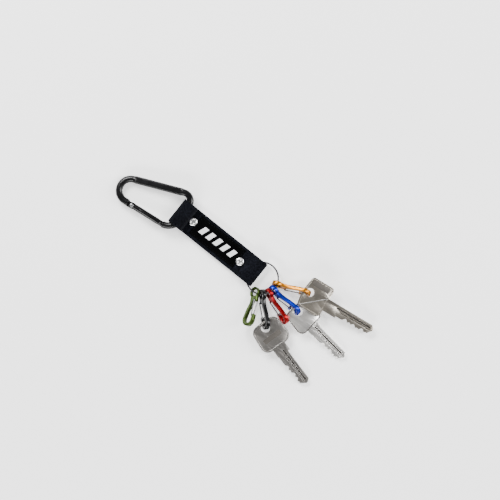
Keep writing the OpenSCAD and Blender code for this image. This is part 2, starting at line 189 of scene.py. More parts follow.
def math_node(tree, operation, a, b=None, c=None):
    """The result of one sum on sockets or numbers."""
    node = tree.nodes.new("ShaderNodeMath")
    node.operation = operation
    for k, value in enumerate((a, b, c)):
        if value is None:
            continue
        if isinstance(value, (int, float)):
            node.inputs[k].default_value = value
        else:
            tree.links.new(value, node.inputs[k])
    return node.outputs[0]


def build_yarn_group():
    """Woven yarn on a piece's own UV map: two sine waves at right angles, one sheared by the other to give a
    twill, plus a soft noise for uneven dye and fluff. Pitches are in metres."""
    group, inp, out = node_group(
        "woven yarn", [("Pitch Along", 0.00095), ("Pitch Across", 0.0006), ("Slant", 0.5)],
        [("Height", "NodeSocketFloat"), ("Tone", "NodeSocketFloat")])
    uv = add(group, "ShaderNodeSeparateXYZ", [(0, add(group, "ShaderNodeUVMap", uv_map="along").outputs[0])])
    along = math_node(group, "DIVIDE", uv.outputs[0], inp.outputs["Pitch Along"])
    across = math_node(group, "DIVIDE", uv.outputs[1], inp.outputs["Pitch Across"])
    sheared = math_node(group, "MULTIPLY_ADD", along, inp.outputs["Slant"], across)
    wave = [math_node(group, "SINE", math_node(group, "MULTIPLY", w, 2 * math.pi)) for w in (along, sheared)]
    swell = math_node(group, "MULTIPLY_ADD", wave[0], 0.25, 0.75)
    height = math_node(group, "MULTIPLY_ADD", wave[1], swell, 1.0)
    coords = add(group, "ShaderNodeTexCoord")
    fluff = add(group, "ShaderNodeTexNoise", [(0, coords.outputs["Object"])], Scale=900.0, Detail=6.0)
    patch = add(group, "ShaderNodeTexNoise", [(0, coords.outputs["Object"])], Scale=120.0, Detail=3.0)
    fluffy = math_node(group, "MULTIPLY_ADD", fluff.outputs["Fac"], 1.1, height)
    uneven = math_node(group, "MULTIPLY_ADD", patch.outputs["Fac"], 0.9, 0.6)
    tone = math_node(group, "MULTIPLY", fluff.outputs["Fac"], uneven)
    group.links.new(fluffy, out.inputs["Height"])
    group.links.new(tone, out.inputs["Tone"])
    return group


yarn_group = build_yarn_group()


def finish_node(node, material):
    """Gives its material to a CAD node that is shown as it is."""
    frame["nodes"][node].data.materials.clear()
    frame["nodes"][node].data.materials.append(material)


def new_material(name, **sockets):
    """A material whose Principled BSDF has its constant values on its own sockets."""
    material = bpy.data.materials.new(name)
    material.use_nodes = True
    shader = material.node_tree.nodes["Principled BSDF"]
    for key, value in sockets.items():
        shader.inputs[key.replace("_", " ")].default_value = value
    return material, material.node_tree, shader


CLOTH_GLOSS = 0.02                               # share of a smooth plastic's gloss that a weave keeps


def cloth(name, dark, light, pitch_along, pitch_across, slant, depth, roughness, sheen):
    """Yarn-dyed cloth: its colour runs from dark to light with the yarn's tone, and its height is a bump."""
    material, tree, shader = new_material(name, Roughness=roughness, Sheen_Weight=sheen, Sheen_Roughness=0.5,
                                          Specular_IOR_Level=CLOTH_GLOSS)
    weave = add(tree, "ShaderNodeGroup", node_tree=yarn_group)
    for title, value in (("Pitch Along", pitch_along), ("Pitch Across", pitch_across), ("Slant", slant)):
        weave.inputs[title].default_value = value
    ramp = add(tree, "ShaderNodeValToRGB", [(0, weave.outputs["Tone"])])
    ramp.color_ramp.elements[0].position = 0.28
    ramp.color_ramp.elements[0].color = (*dark, 1)
    ramp.color_ramp.elements[1].position = 0.78
    ramp.color_ramp.elements[1].color = (*light, 1)
    bump = add(tree, "ShaderNodeBump", [("Height", weave.outputs["Height"])], Strength=0.8, Distance=depth)
    tree.links.new(ramp.outputs[0], shader.inputs["Base Color"])
    tree.links.new(bump.outputs[0], shader.inputs["Normal"])
    return material


webbing_cloth = cloth("black webbing", (0.0003, 0.0004, 0.0008), (0.0075, 0.0084, 0.0125),
                      RIB_PITCH * MM, 0.55 * MM, 0.5, 0.00012, 0.72, 0.02)

loop_start = tangent_angle(LOOP_FOOT, UPPER_Z, LOOP_RIGHT, LOOP_Z, LOOP_RADIUS, 1)
pocket_end = tangent_angle(POCKET_FOOT, UPPER_Z, POCKET_LEFT, POCKET_Z, POCKET_RADIUS, -1) % 360
web_route = np.vstack([
    [[POCKET_FOOT, UPPER_Z], [LOOP_FOOT, UPPER_Z]],
    arc(LOOP_RIGHT, LOOP_Z, LOOP_RADIUS, loop_start, 90),
    arc(LOOP_LEFT, LOOP_Z, LOOP_RADIUS, 90, 270),
    arc(POCKET_RIGHT, POCKET_Z, POCKET_RADIUS, -90, 90),
    arc(POCKET_LEFT, POCKET_Z, POCKET_RADIUS, 90, pocket_end),
])
web_line, web_step = even_loop(web_route, RIB_PITCH / 8, 1.5)
web_tangent = np.roll(web_line, -1, axis=0) - np.roll(web_line, 1, axis=0)
web_tangent /= np.linalg.norm(web_tangent, axis=1)[:, None]
web_out = np.stack([web_tangent[:, 1], -web_tangent[:, 0]], 1)
web_run = np.arange(len(web_line) + 1) * web_step
rib = np.abs(np.sin(math.pi * web_run[:-1] / (web_step * 8))) ** 0.7
section, rib_share = rounded_band(WEB_WIDTH / 2, WEB_THICK / 2, 0.5)
out_by = section[None, :, 1] - RIB_DEPTH * (1 - rib)[:, None] * rib_share[None, :]
across = section[None, :, 0] * (1 - 0.012 * (1 - rib))[:, None]
web_points = np.stack([web_line[:, None, 0] + web_out[:, None, 0] * out_by,
                       across + 0 * out_by,
                       web_line[:, None, 1] + web_out[:, None, 1] * out_by], 2)
web_girth = run_along(np.vstack([section, section[:1]]))
web_mesh = grid_mesh("webbing", web_points, web_run, web_girth, close_u=True, caps=False)
place("ribbed_webbing", web_mesh, "strap", "webbing", webbing_cloth, "strap_webbing")

# ---- Front and back panels -----------------------------------------------------------------------------
# Smooth black polyester ribbon, laid over the webbing between the rivets and sewn round its edge with
# black thread. The front one's right end is folded under, which leaves a thin ridge.

EDGE_ROUND = 0.16
STITCH, STITCH_GAP, THREAD_R, SEAM_INSET = 1.7, 0.55, 0.13, 0.9


def ribbon_slab(name, low, high, fold=0.0):
    """A thin slab between two corners. Its section is a rectangle with round corners carried along X, drawn
    in at both ends over the rounding, and the seam lines are pressed in by a narrow bell curve. fold raises
    a ridge of that height near the right end."""
    (x0, y0, z0), (x1, y1, z1) = low, high
    ring, lift = rounded_band((y1 - y0) / 2, (z1 - z0) / 2, EDGE_ROUND, across=80)
    ends = x0 + EDGE_ROUND * (1 - np.cos(np.linspace(0, math.pi / 2, 5)))
    between = np.linspace(x0 + EDGE_ROUND, x1 - EDGE_ROUND, 160)[1:-1]
    x = np.concatenate([ends, between, (x0 + x1 - ends)[::-1]])
    near_end = np.minimum(np.minimum(x - x0, x1 - x), EDGE_ROUND) / EDGE_ROUND
    drawn = EDGE_ROUND * (1 - np.sqrt(np.clip(1 - (1 - near_end) ** 2, 0, 1)))
    y = ring[None, :, 0] * (1 - drawn[:, None] / ((y1 - y0) / 2))
    z = ring[None, :, 1] - np.sign(ring[None, :, 1]) * drawn[:, None]
    edge = np.minimum((y1 - y0) / 2 - np.abs(y), np.minimum(x - x0, x1 - x)[:, None])
    pressed = 0.07 * np.exp(-((edge - SEAM_INSET) / 0.25) ** 2) * np.clip(lift, 0, 1)
    ridge = fold * np.exp(-((x - (x1 - 1.7)) / 0.22) ** 2)[:, None] * np.clip(lift, 0, 1)
    points = np.stack([x[:, None] + 0 * y, (y0 + y1) / 2 + y, (z0 + z1) / 2 + z - pressed + ridge], 2)
    return grid_mesh(name, points, x - x0, run_along(np.vstack([ring, ring[:1]])))


def stitch_row(ends, z):
    """Stitches as flattened ellipsoids in a row from one end to the other: long axis along the row."""
    (ax, ay), (bx, by) = ends
    length = math.hypot(bx - ax, by - ay)
    count = max(int(length / (STITCH + STITCH_GAP)), 1)
    at = (np.arange(count) + 0.5) / count
    along = np.array([bx - ax, by - ay]) / length
    u, v = np.meshgrid(np.linspace(0, math.pi, 7), np.linspace(0, 2 * math.pi, 9)[:-1], indexing="ij")
    ball = np.stack([-np.cos(u) * STITCH / 2, np.sin(u) * np.cos(v) * THREAD_R,
                     np.sin(u) * np.sin(v) * THREAD_R], 2)
    return [np.stack([ax + (bx - ax) * t + ball[..., 0] * along[0] - ball[..., 1] * along[1],
                      ay + (by - ay) * t + ball[..., 0] * along[1] + ball[..., 1] * along[0],
                      z + ball[..., 2]], 2) for t in at]


def joined(name, meshes):
    """One mesh from several, which are then removed."""
    bm = bmesh.new()
    for mesh in meshes:
        bm.from_mesh(mesh)
        bpy.data.meshes.remove(mesh)
    bmesh.ops.remove_doubles(bm, verts=bm.verts, dist=1e-8)
    mesh = bpy.data.meshes.new(name)
    bm.to_mesh(mesh)
    bm.free()
    mesh.shade_smooth()
    return mesh


def seam(name, low, high, z):
    """The seam round a panel: four rows of stitches, inset from its edges."""
    x0, y0, x1, y1 = low[0] + SEAM_INSET, low[1] + SEAM_INSET, high[0] - SEAM_INSET, high[1] - SEAM_INSET
    rows = [((x0, y0), (x1, y0)), ((x0, y1), (x1, y1)), ((x0, y0), (x0, y1)), ((x1, y0), (x1, y1))]
    meshes = []
    for row in rows:
        for ball in stitch_row(row, z):
            meshes.append(grid_mesh("stitch", ball, np.arange(7), np.arange(9), caps=False))
    return joined(name, meshes)


ribbon_cloth = cloth("smooth black ribbon", (0.0001, 0.0001, 0.00015), (0.0006, 0.00065, 0.0008),
                     0.28 * MM, 0.2 * MM, 0.25, 0.00002, 0.55, 0.0)
thread_cloth = cloth("black thread", (0.001, 0.001, 0.0014), (0.006, 0.0063, 0.008),
                     0.3 * MM, 0.2 * MM, 0.8, 0.00003, 0.55, 0.03)
print_material, print_tree, print_shader = new_material("white print", Roughness=0.55)
print_noise = add(print_tree, "ShaderNodeTexNoise",
                  [(0, add(print_tree, "ShaderNodeTexCoord").outputs["Object"])], Scale=700.0, Detail=5.0)
print_ramp = add(print_tree, "ShaderNodeValToRGB", [(0, print_noise.outputs["Fac"])])
print_ramp.color_ramp.elements[0].color = (0.62, 0.63, 0.65, 1)
print_ramp.color_ramp.elements[1].color = (0.88, 0.89, 0.9, 1)
print_bump = add(print_tree, "ShaderNodeBump", [("Height", print_noise.outputs["Fac"])], Strength=0.5,
                 Distance=0.00005)
print_tree.links.new(print_ramp.outputs[0], print_shader.inputs["Base Color"])
print_tree.links.new(print_bump.outputs[0], print_shader.inputs["Normal"])

for side, fold in (("front", 0.1), ("back", 0.0)):
    low, high = [np.array(corner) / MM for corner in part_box(side + "_panel")]
    place(side + "_ribbon", ribbon_slab(side + " ribbon", low, high, fold), "strap", "panel", ribbon_cloth,
          side + "_panel")
    if side == "front":
        place("front_seam", seam("front seam", low, high, high[2] - 0.04), "strap", "panel", thread_cloth)
finish_node("front_print", print_material)

# ---- Rivets --------------------------------------------------------------------------------------------
# Two double-cap rivets of nickel-plated brass, set with a die that dishes the middle of the cap. The post
# goes through both layers of webbing, and the plain back cap sits flush under the strap.


def build_wear_group():
    """Wear on metal in object space: fine scratches are thin contours of a stretched noise, smudges are a
    soft noise, and grain is a very fine noise. Stretch sets how much longer the scratches are than wide."""
    group, inp, out = node_group("metal wear", [("Stretch", 6.0)],
                                 [("Scratch", "NodeSocketFloat"), ("Smudge", "NodeSocketFloat"),
                                  ("Grain", "NodeSocketFloat")])
    coords = add(group, "ShaderNodeTexCoord").outputs["Object"]
    squeeze = add(group, "ShaderNodeCombineXYZ", [(1, inp.outputs["Stretch"])])
    squeeze.inputs[0].default_value = 1.0
    squeeze.inputs[2].default_value = 1.0
    drawn = add(group, "ShaderNodeVectorMath", [(0, coords), (1, squeeze.outputs[0])], operation="MULTIPLY")
    lines = add(group, "ShaderNodeTexNoise", [(0, drawn.outputs[0])], Scale=260.0, Detail=3.0, Roughness=0.6)
    apart = math_node(group, "ABSOLUTE", math_node(group, "SUBTRACT", lines.outputs["Fac"], 0.5))
    scratch = math_node(group, "SUBTRACT", 1.0, math_node(group, "MULTIPLY", apart, 22.0))
    scratch = math_node(group, "MAXIMUM", scratch, 0.0)
    patch = add(group, "ShaderNodeTexNoise", [(0, coords)], Scale=170.0, Detail=4.0)
    broken = math_node(group, "GREATER_THAN", patch.outputs["Fac"], 0.5)
    smudge = add(group, "ShaderNodeTexNoise", [(0, coords)], Scale=95.0, Detail=5.0)
    grain = add(group, "ShaderNodeTexNoise", [(0, coords)], Scale=5200.0, Detail=2.0)
    group.links.new(math_node(group, "MULTIPLY", scratch, broken), out.inputs["Scratch"])
    group.links.new(smudge.outputs["Fac"], out.inputs["Smudge"])
    group.links.new(grain.outputs["Fac"], out.inputs["Grain"])
    return group


wear_group = build_wear_group()


GRAIN_DEPTH = 0.02                               # of the scratches and the grain, at full strength


def metal(name, colour, dull, rough, scratches, grain, stretch=6.0, metallic=1.0, gloss=0.5):
    """Metal whose colour runs from colour to dull and whose roughness runs over the pair rough with the
    smudges. Scratches and grain are cut in by a bump."""
    material, tree, shader = new_material(name, Metallic=metallic, Specular_IOR_Level=gloss)
    wear = add(tree, "ShaderNodeGroup", node_tree=wear_group)
    wear.inputs["Stretch"].default_value = stretch
    tint = add(tree, "ShaderNodeValToRGB", [(0, wear.outputs["Smudge"])])
    tint.color_ramp.elements[0].position = 0.35
    tint.color_ramp.elements[0].color = (*dull, 1)
    tint.color_ramp.elements[1].position = 0.62
    tint.color_ramp.elements[1].color = (*colour, 1)
    spread = add(tree, "ShaderNodeMapRange", [(0, wear.outputs["Smudge"])])
    for k, value in ((1, 0.35), (2, 0.65), (3, rough[1]), (4, rough[0])):
        spread.inputs[k].default_value = value
    height = math_node(tree, "MULTIPLY", wear.outputs["Scratch"], -scratches)
    height = math_node(tree, "MULTIPLY_ADD", wear.outputs["Grain"], grain, height)
    bump = add(tree, "ShaderNodeBump", [("Height", height)], Strength=1.0, Distance=GRAIN_DEPTH * MM)
    tree.links.new(tint.outputs[0], shader.inputs["Base Color"])
    tree.links.new(spread.outputs[0], shader.inputs["Roughness"])
    tree.links.new(bump.outputs[0], shader.inputs["Normal"])
    return material


nickel = metal("bright nickel", (0.9, 0.9, 0.9), (0.82, 0.815, 0.81), (0.28, 0.36), 0.08, 0.05)

CAP_R, CAP_H, BACK_T = 3.0, 0.95, 0.4
cap_profile = [(3.0, 0.0), (3.0, 0.18), (2.93, 0.42), (2.72, 0.68), (2.4, 0.86), (2.1, CAP_H), (1.85, 0.93),
               (1.66, 0.8), (1.5, 0.6), (1.36, 0.46), (1.1, 0.4), (0.7, 0.37), (0.3, 0.36), (0.0, 0.36)]
back_profile = [(3.0, BACK_T), (3.0, 0.16), (2.92, 0.05), (2.78, 0.0), (1.6, 0.0), (1.45, 0.04), (0.7, 0.07),
                (0.0, 0.07)]


def turned(name, profile, centre, x_axis=(1, 0, 0), z_axis=(0, 0, 1), around=96, fine=4):
    """A turned shape: the profile (radius, height) is eased by a Catmull-Rom curve between its points and
    spun round z_axis through centre. Its first point starts a flat end, and its last lies on the axis."""
    p = np.array([profile[0]] + list(profile) + [profile[-1]], float)
    t = np.linspace(0, 1, fine, endpoint=False)[:, None]
    a, b, c, d = p[:-3, None], p[1:-2, None], p[2:-1, None], p[3:, None]
    eased = 0.5 * (2 * b + (c - a) * t + (2 * a - 5 * b + 4 * c - d) * t ** 2
                   + (3 * b - a - 3 * c + d) * t ** 3)
    line = np.vstack([eased.reshape(-1, 2), p[-1:]])
    line[:, 0] = np.maximum(line[:, 0], 0.002)
    angle = np.linspace(0, 2 * math.pi, around, endpoint=False)
    z_axis, x_axis = np.array(z_axis, float), np.array(x_axis, float)
    y_axis = np.cross(z_axis, x_axis)
    spoke = np.cos(angle)[:, None] * x_axis + np.sin(angle)[:, None] * y_axis
    points = np.array(centre) + line[:, 0, None, None] * spoke[None] + line[:, 1, None, None] * z_axis
    return grid_mesh(name, points, np.arange(len(line)) * 0.1, np.arange(around + 1) * 0.1)


cap_low, cap_high = [np.array(corner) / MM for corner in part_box("rivet_caps")]
back_low = np.array(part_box("rivet_backs")[0]) / MM
rivets = [(cap_low[0] + CAP_R, cap_high[1] - CAP_R), (cap_high[0] - CAP_R, cap_low[1] + CAP_R)]
caps = [turned("cap", cap_profile, (x, y, cap_low[2])) for x, y in rivets]
backs = [turned("back", back_profile, (x, y, back_low[2])) for x, y in rivets]
place("dished_caps", joined("rivet caps", caps), "strap", "nickel", nickel, "rivet_caps")
place("back_caps", joined("rivet backs", backs), "strap", "nickel", nickel, "rivet_backs")
finish_node("rivet_posts", nickel)

# ---- Carabiner frame -----------------------------------------------------------------------------------
# A 5 mm aluminium rod, bent cold to a pear shape and pressed flat along the spine, then polished and
# anodised black. A milled tongue at one end carries the gate, and a hooked one at the other catches it.

joints = {joint["name"]: joint for joint in frame["joints"]}
ROD_R = 2.5
BOW, BOW_R = np.array([-41.3, 8.4]), 8.4
CORNER, CORNER_R = np.array([-6.3, 21.35]), 6.3
NOSE, NOSE_R, NOSE_X = np.array([-10.2, 10.2]), 10.2, -9.4
HINGE = np.array([-34.8, -0.3])
SHOULDER_X = HINGE[0] - 3.35
SPINE_HALF_W, SPINE_HALF_T = 2.8, 2.1
TONGUE_T, TONGUE_R, TONGUE_FLAT = 1.8, 2.2, 1.9
CATCH_X, CATCH_R, HOOK_T = -11.0, 0.45, 1.5


def unit(v):
    """The vector at length 1."""
    v = np.array(v, float)
    return v / np.linalg.norm(v)


carabiner_x = unit(joints["plunger_slide"]["axis"])
carabiner_z = unit(joints["gate_open"]["axis"])
carabiner_y = np.cross(carabiner_z, carabiner_x)
hinge_at = np.array(joints["gate_open"]["pos_m"]) / MM
carabiner_zero = hinge_at - HINGE[0] * carabiner_x - HINGE[1] * carabiner_y


def placer(origin, x_axis, y_axis, z_axis):
    """A function that takes points in a frame with this origin and these axes to the row frame."""
    return lambda points: (origin + points[..., 0, None] * x_axis + points[..., 1, None] * y_axis
                           + points[..., 2, None] * z_axis)


# The carabiner's own frame has its gate along X and its base bar along Y.
on_carabiner = placer(carabiner_zero, carabiner_x, carabiner_y, carabiner_z)


def arc_run(centre, radius, start, end, step=0.35):
    """Points on an arc a step apart, angles in degrees."""
    count = max(int(abs(math.radians(end - start)) * radius / step), 2)
    a = np.radians(np.linspace(start, end, count))
    return np.stack([centre[0] + radius * np.cos(a), centre[1] + radius * np.sin(a)], 1)


def line_run(start, end, step=0.35):
    """Points on a straight line a step apart, without its ends."""
    count = max(int(np.linalg.norm(np.subtract(end, start)) / step), 2)
    return np.linspace(start, end, count + 1)[1:-1]


def smooth_step(t):
    """0 below 0, 1 above 1 and an S-curve between."""
    t = np.clip(t, 0, 1)
    return t * t * (3 - 2 * t)


def rod_along(name, route, radius, flat, end_round, place_at, around=64):
    """A rod swept along a flat route. Its section is a circle, soft-clipped at the height flat above and
    below the route's plane, and it is drawn in over end_round at both ends."""
    tangent = np.gradient(route, axis=0)
    tangent /= np.linalg.norm(tangent, axis=1)[:, None]
    side = np.stack([-tangent[:, 1], tangent[:, 0]], 1)
    run = run_along(route)
    near = np.clip(np.minimum(run, run[-1] - run) / end_round, 0, 1)
    inset = end_round * (1 - np.sqrt(1 - (1 - near) ** 2))
    angle = np.linspace(0, 2 * math.pi, around, endpoint=False)
    a = (radius - inset)[:, None] * np.cos(angle)
    b = (radius - inset)[:, None] * np.sin(angle)
    b = b / (1 + np.abs(b / flat[:, None]) ** 16) ** (1 / 16)
    points = np.dstack([route[:, None, k] + side[:, None, k] * a for k in range(2)] + [b])
    return grid_mesh(name, place_at(points), run, np.linspace(0, 2 * math.pi * ROD_R, around + 1))


def plate(name, outline, low, high, edge, place_at):
    """A flat plate with rounded rims: the outline, drawn in along its own normals by a quarter circle at
    each face, is carried from low to high."""
    outline = np.array(outline, float)
    ahead = np.roll(outline, -1, axis=0) - outline
    behind = outline - np.roll(outline, 1, axis=0)
    normal = sum(np.stack([d[:, 1], -d[:, 0]], 1) / np.linalg.norm(d, axis=1)[:, None]
                 for d in (ahead, behind))
    normal /= np.linalg.norm(normal, axis=1)[:, None]
    if np.sum(outline[:, 0] * np.roll(outline[:, 1], -1) - outline[:, 1] * np.roll(outline[:, 0], -1)) < 0:
        normal = -normal
    quarter = np.linspace(0, math.pi / 2, 5)
    draw = edge * np.concatenate([1 - np.sin(quarter), (1 - np.sin(quarter))[::-1]])
    rise = edge * (1 - np.cos(quarter))
    height = np.concatenate([low + rise, (high - rise)[::-1]])
    flat = outline[None] - draw[:, None, None] * normal[None]
    points = np.dstack([flat, np.repeat(height[:, None], len(outline), 1)])
    return grid_mesh(name, place_at(points), np.arange(len(height)), np.arange(len(outline) + 1))


spine_run = CORNER - BOW
spine_turn = math.degrees(math.atan2(spine_run[1], spine_run[0])
                          - math.asin((BOW_R - CORNER_R) / np.linalg.norm(spine_run)))
nose_turn = math.degrees(math.acos((NOSE_X - NOSE[0]) / NOSE_R))
end_steps = [(SHOULDER_X - d, 0.0) for d in (0.0, 0.03, 0.08, 0.15, 0.25)]
bow_arc = arc_run(BOW, BOW_R, 270, 90 + spine_turn)
corner_arc = arc_run(CORNER, CORNER_R, 90 + spine_turn, 0)
nose_arc = arc_run(NOSE, NOSE_R, 0, -nose_turn, 0.12)
frame_route = np.vstack([end_steps, line_run(end_steps[-1], bow_arc[0]), bow_arc,
                         line_run(bow_arc[-1], corner_arc[0]), corner_arc,
                         line_run(corner_arc[-1], nose_arc[0]), nose_arc])
along_spine = unit(corner_arc[0] - bow_arc[-1])
spine_at = (frame_route - bow_arc[-1]) @ along_spine
spine_length = float(np.linalg.norm(corner_arc[0] - bow_arc[-1]))
on_spine = (frame_route - BOW) @ np.array([-along_spine[1], along_spine[0]]) > BOW_R * 0.9
pressed = on_spine * smooth_step((spine_at + 0.2) / 2.2) * smooth_step((spine_length + 0.2 - spine_at) / 2.2)
rod_size = ROD_R + (SPINE_HALF_W - ROD_R) * pressed
clip_height = SPINE_HALF_T + 3 * (1 - pressed)
frame_rod = rod_along("frame rod", frame_route, rod_size, clip_height, 0.35, on_carabiner)
tongue_outline = np.vstack([
    [[SHOULDER_X - 0.6, HINGE[1] - TONGUE_R]],
    arc_run(HINGE, TONGUE_R, -90, -math.degrees(math.acos(TONGUE_FLAT / TONGUE_R)), 0.25),
    arc_run(HINGE, TONGUE_R, math.degrees(math.acos(TONGUE_FLAT / TONGUE_R)), 90, 0.25),
    [[SHOULDER_X - 0.6, HINGE[1] + TONGUE_R]]])
slot_r = CATCH_R + 0.15
hook_outline = np.vstack([
    [[CATCH_X - 1.4, -1.7], [NOSE_X + 0.6, -1.7], [NOSE_X + 0.6, 1.5], [CATCH_X + slot_r, 1.5]],
    arc_run((CATCH_X, 0), slot_r, 0, -180, 0.12),
    [[CATCH_X - slot_r, 1.5], [CATCH_X - 1.4, 1.5]]])
tongue = plate("tongue", tongue_outline, -TONGUE_T / 2, TONGUE_T / 2, 0.12, on_carabiner)
hook = plate("hook", hook_outline, -HOOK_T / 2, HOOK_T / 2, 0.1, on_carabiner)
black_anodise = metal("black anodising", (0.0028, 0.0028, 0.0034), (0.0048, 0.0048, 0.0056), (0.2, 0.32),
                      0.3, 0.1, metallic=0.1, gloss=0.3)
place("frame_rod", joined("carabiner frame", [frame_rod, tongue, hook]), "carabiner", "anodised_black",
      black_anodise, "carabiner_frame")

# ---- Carabiner gate ------------------------------------------------------------------------------------
# A turned aluminium bar, bored for its spring and slotted at both ends: over the frame's tongue at the
# hinge and over the hook at the nose. Its pins are plain steel, and the hinge pin is headed on both sides.


SHARP = 28                                       # edges that turn by more than this many degrees are broken


def finished_copy(name, node, edge, segments=3):
    """A CAD node's shape, ready to have its edges broken: a merged copy with its flat faces made whole, and
    the width and segments that break_edges takes."""
    mesh = frame["nodes"][node].data.copy()
    mesh.name = name
    bm = bmesh.new()
    bm.from_mesh(mesh)
    bmesh.ops.remove_doubles(bm, verts=bm.verts, dist=2e-7)
    bmesh.ops.dissolve_limit(bm, angle_limit=math.radians(0.4), verts=bm.verts, edges=bm.edges)
    bm.to_mesh(mesh)
    bm.free()
    mesh.shade_smooth()
    return mesh, dict(edge=edge, segments=segments)


def break_edges(piece, edge, segments):
    """Adds a Bevel of the width edge on the sharp edges, with its faces' normals kept flat."""
    bevel = piece.modifiers.new("broken edges", "BEVEL")
    bevel.width = edge * MM
    bevel.segments = segments
    bevel.limit_method = "ANGLE"
    bevel.angle_limit = math.radians(SHARP)
    bevel.harden_normals = True
    bevel.miter_outer = "MITER_ARC"
    bevel.use_clamp_overlap = True


steel = metal("plain steel", (0.56, 0.57, 0.58), (0.42, 0.42, 0.43), (0.2, 0.38), 0.6, 0.25)
gate_mesh, gate_edges = finished_copy("carabiner gate", "carabiner_gate", 0.12)
gate = place("gate_bar", gate_mesh, "gate", "anodised_black", black_anodise, "carabiner_gate")
break_edges(gate, **gate_edges)

PIN_R, PIN_HEAD_R, PIN_FLAT, PIN_HEAD_H = 0.8, 1.25, 2.1, 0.35
half_pin = [(PIN_R, 0.0), (PIN_R, PIN_FLAT), (PIN_HEAD_R, PIN_FLAT), (PIN_HEAD_R, PIN_FLAT + 0.12),
            (PIN_HEAD_R - 0.12, PIN_FLAT + 0.26), (PIN_HEAD_R - 0.45, PIN_FLAT + 0.34),
            (0.0, PIN_FLAT + PIN_HEAD_H)]
pin_centre = on_carabiner(np.array([*HINGE, 0.0]))
pin_halves = [turned("pin", half_pin, pin_centre, carabiner_x, carabiner_z * way, 48, 3) for way in (1, -1)]
place("hinge_rivet", joined("hinge pin", pin_halves), "gate", "steel", steel, "gate_hinge_pin")
for node in ("gate_catch_pin", "gate_plunger", "gate_spring"):
    finish_node(node, steel)

# ---- Split ring ----------------------------------------------------------------------------------------
# Two turns of flattened spring-steel wire, nickel-plated and hardened so that the coils close on each
# other. The coils cross in one short step, and each end is rounded over.

RING_R, WIRE_HALF_W, WIRE_HALF_H = 11.45, 0.58, 0.325
RING_X, RING_PIVOT_X, RING_PIVOT_Z, RING_TILT = 40.6, 36.473, 2.895, math.radians(4)
COIL_STEP = 0.7
turn = np.linspace(17, 703, 700)
coil_height = COIL_STEP * (np.clip((turn - 345) / 30, 0, 1) - 0.5)
wire_angle = np.linspace(0, 2 * math.pi, 24, endpoint=False)


def squircle(angle, half_w, half_h, power):
    """A rounded box: |x / w| ^ p + |y / h| ^ p = 1, by the angle."""
    c, s = np.cos(angle), np.sin(angle)
    size = (np.abs(c) ** power + np.abs(s) ** power) ** (-1 / power)
    return np.stack([half_w * c * size, half_h * s * size], 1)


wire_section = squircle(wire_angle, WIRE_HALF_W, WIRE_HALF_H, 3.2)
run = np.radians(turn - turn[0]) * RING_R
drawn_in = np.sqrt(np.clip(1 - (1 - np.clip(np.minimum(run, run[-1] - run) / 0.4, 0, 1)) ** 2, 0.05, 1))
spin = np.radians(turn + 120)
radius = RING_R + wire_section[None, :, 0] * drawn_in[:, None]
flat_ring = np.stack([radius * np.cos(spin)[:, None], radius * np.sin(spin)[:, None],
                      coil_height[:, None] + wire_section[None, :, 1] * drawn_in[:, None]], 2)
ahead = RING_X - RING_PIVOT_X + flat_ring[..., 0]
lean_x, lean_z = math.cos(RING_TILT), math.sin(RING_TILT)
ring_points = np.stack([RING_PIVOT_X + ahead * lean_x - flat_ring[..., 2] * lean_z,
                        flat_ring[..., 1],
                        RING_PIVOT_Z + ahead * lean_z + flat_ring[..., 2] * lean_x], 2)
ring_steel = metal("ring steel", (0.12, 0.12, 0.124), (0.075, 0.075, 0.078), (0.26, 0.4), 0.4, 0.12,
                   stretch=2.0)
place("ring_coils", grid_mesh("split ring", ring_points, run, np.arange(25) * 0.12), "ring", "ring_steel",
      ring_steel, "split_ring")

# ---- Clips ---------------------------------------------------------------------------------------------
# Five small carabiners, sawn from 2.6 mm aluminium plate, tumbled, and anodised in five colours. Each
# hangs on the ring by its countersunk eye, and a spring wire closes the gap between its nose and its lug.

clip_colours = {
    "gold": ((0.42, 0.165, 0.0), (0.28, 0.09, 0.0)),
    "blue": ((0.003, 0.022, 0.42), (0.001, 0.010, 0.20)),
    "red": ((0.36, 0.0008, 0.0045), (0.16, 0.0003, 0.002)),
    "green": ((0.048, 0.080, 0.012), (0.028, 0.048, 0.007)),
}
WIRE_R, WIRE_SIDE, WIRE_TURN, FOOT_IN = 0.45, 1.87, 0.95, 0.45
gate_wire = metal("gate wire", (0.19, 0.19, 0.195), (0.12, 0.12, 0.125), (0.24, 0.4), 0.4, 0.15)


def round_wire(name, route, radius, place_at, around=20, ease=0.5):
    """A round wire along a route in space: its corners are eased by repeated averaging, and its section is
    a circle in the plane across the route, with both ends domed."""
    length = run_along(route)
    count = int(length[-1] / 0.12)
    at = np.linspace(0, length[-1], count)
    line = np.stack([np.interp(at, length, route[:, k]) for k in range(3)], 1)
    for _ in range(int(ease / 0.12) ** 2):
        line[1:-1] = (line[:-2] + line[1:-1] + line[2:]) / 3
    tangent = np.gradient(line, axis=0)
    tangent /= np.linalg.norm(tangent, axis=1)[:, None]
    side = np.cross(tangent, [0.03, 1.0, 0.02])
    side /= np.linalg.norm(side, axis=1)[:, None]
    up = np.cross(tangent, side)
    near = np.clip(np.minimum(at, at[-1] - at) / (radius * 0.5), 0, 1)
    size = radius * np.sqrt(np.clip(1 - (1 - near) ** 2, 0.03, 1))
    angle = np.linspace(0, 2 * math.pi, around, endpoint=False)
    spoke = np.cos(angle)[None, :, None] * side[:, None] + np.sin(angle)[None, :, None] * up[:, None]
    points = line[:, None] + size[:, None, None] * spoke
    return grid_mesh(name, place_at(points), at, np.arange(around + 1) * 0.1)


